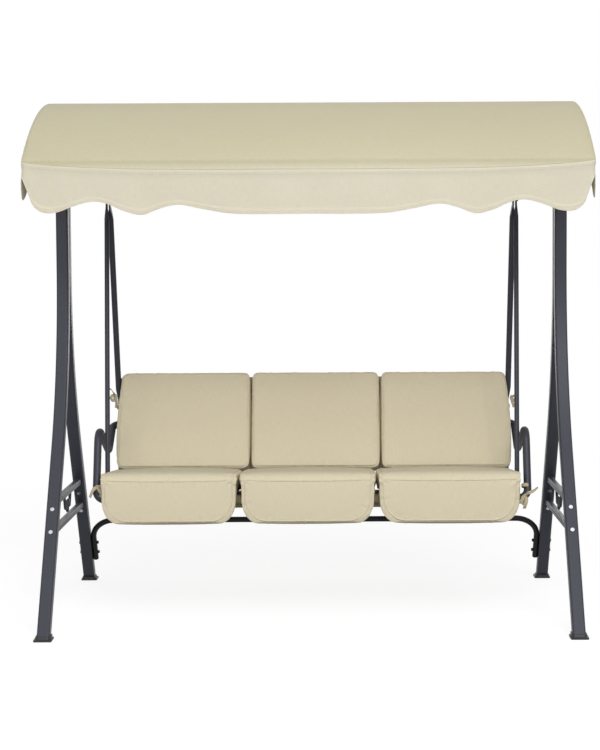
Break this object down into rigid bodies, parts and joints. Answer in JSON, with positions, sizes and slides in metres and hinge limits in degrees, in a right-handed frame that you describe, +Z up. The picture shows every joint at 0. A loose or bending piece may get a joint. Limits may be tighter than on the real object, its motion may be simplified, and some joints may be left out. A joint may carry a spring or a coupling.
{
  "type": "canopy swing bench",
  "caption": "Garden swing bench: a cushioned seat hangs by rods from a steel A-frame stand under a tilting scalloped fabric canopy.",
  "frame": {"origin": "on the ground, at the middle of the rectangle of the feet", "axes": "+X to the right of someone facing the bench, -Y towards the front, +Z up"},
  "size_m": [1.74, 1.1874, 1.69],
  "materials": {
    "grey_steel": "satin powder coat",
    "black_steel": "satin black powder coat",
    "zinc_steel": "zinc plated",
    "black_plastic": "moulded matte",
    "canopy_fabric": "plain woven polyester",
    "cushion_fabric": "plain woven polyester, padded",
    "sling_fabric": "plain woven polyester"
  },
  "bodies": {
    "stand": {"brace_bolts": "zinc_steel", "clamp_bolts": "zinc_steel", "crossbar_bolts": "black_steel", "foot_caps": "black_plastic", "front_lower_leg_left": "grey_steel", "front_lower_leg_right": "grey_steel", "front_upper_leg_left": "grey_steel", "front_upper_leg_right": "grey_steel", "head_bolts": "zinc_steel", "head_bracket_left": "grey_steel", "head_bracket_right": "grey_steel", "hinge_bolts": "zinc_steel", "hinge_bracket_left": "grey_steel", "hinge_bracket_right": "grey_steel", "rear_crossbar": "black_steel", "rear_lower_leg_left": "grey_steel", "rear_lower_leg_right": "grey_steel", "rear_upper_leg_left": "grey_steel", "rear_upper_leg_right": "grey_steel", "side_brace_left": "grey_steel", "side_brace_right": "grey_steel", "tilt_bolts": "zinc_steel", "top_beam": "grey_steel"},
    "swing": {"armrest_left": "grey_steel", "armrest_right": "grey_steel", "back_cushion_left": "cushion_fabric", "back_cushion_middle": "cushion_fabric", "back_cushion_right": "cushion_fabric", "back_lower_rail": "grey_steel", "back_sling": "sling_fabric", "back_top_rail": "grey_steel", "front_hanger_left": "grey_steel", "front_hanger_right": "grey_steel", "hanger_bolts": "zinc_steel", "hinge_bushes": "black_plastic", "rear_hanger_left": "grey_steel", "rear_hanger_right": "grey_steel", "seat_cushion_left": "cushion_fabric", "seat_cushion_middle": "cushion_fabric", "seat_cushion_right": "cushion_fabric", "seat_front_rail": "grey_steel", "seat_rear_rail": "grey_steel", "seat_side_tube_left": "grey_steel", "seat_side_tube_right": "grey_steel", "seat_sling": "sling_fabric", "seat_support_bars": "grey_steel"},
    "canopy": {"canopy_arch_left": "grey_steel", "canopy_arch_right": "grey_steel", "canopy_crown_rail": "grey_steel", "canopy_front_rail": "grey_steel", "canopy_rear_rail": "grey_steel", "canopy_tie_left": "grey_steel", "canopy_tie_right": "grey_steel", "canopy_top": "canopy_fabric", "canopy_valance_front": "canopy_fabric", "canopy_valance_left": "canopy_fabric", "canopy_valance_rear": "canopy_fabric", "canopy_valance_right": "canopy_fabric"},
    "knob_left": {"tilt_knob_left": "black_plastic"},
    "knob_right": {"tilt_knob_right": "black_plastic"}
  },
  "joints": [
    {"name": "swing_hinge", "type": "hinge", "parent": "stand", "child": "swing", "pos_m": [0, 0, 1.372], "axis": [1, 0, 0], "range_deg": [-22, 22]},
    {"name": "canopy_tilt", "type": "hinge", "parent": "stand", "child": "canopy", "pos_m": [0, 0, 1.482], "axis": [1, 0, 0], "range_deg": [-22, 10]},
    {"name": "knob_left_turn", "type": "hinge", "parent": "stand", "child": "knob_left", "pos_m": [-0.83, 0, 1.512], "axis": [1, 0, 0], "range_deg": [0, 360]},
    {"name": "knob_right_turn", "type": "hinge", "parent": "stand", "child": "knob_right", "pos_m": [0.83, 0, 1.512], "axis": [1, 0, 0], "range_deg": [0, 360]}
  ]
}
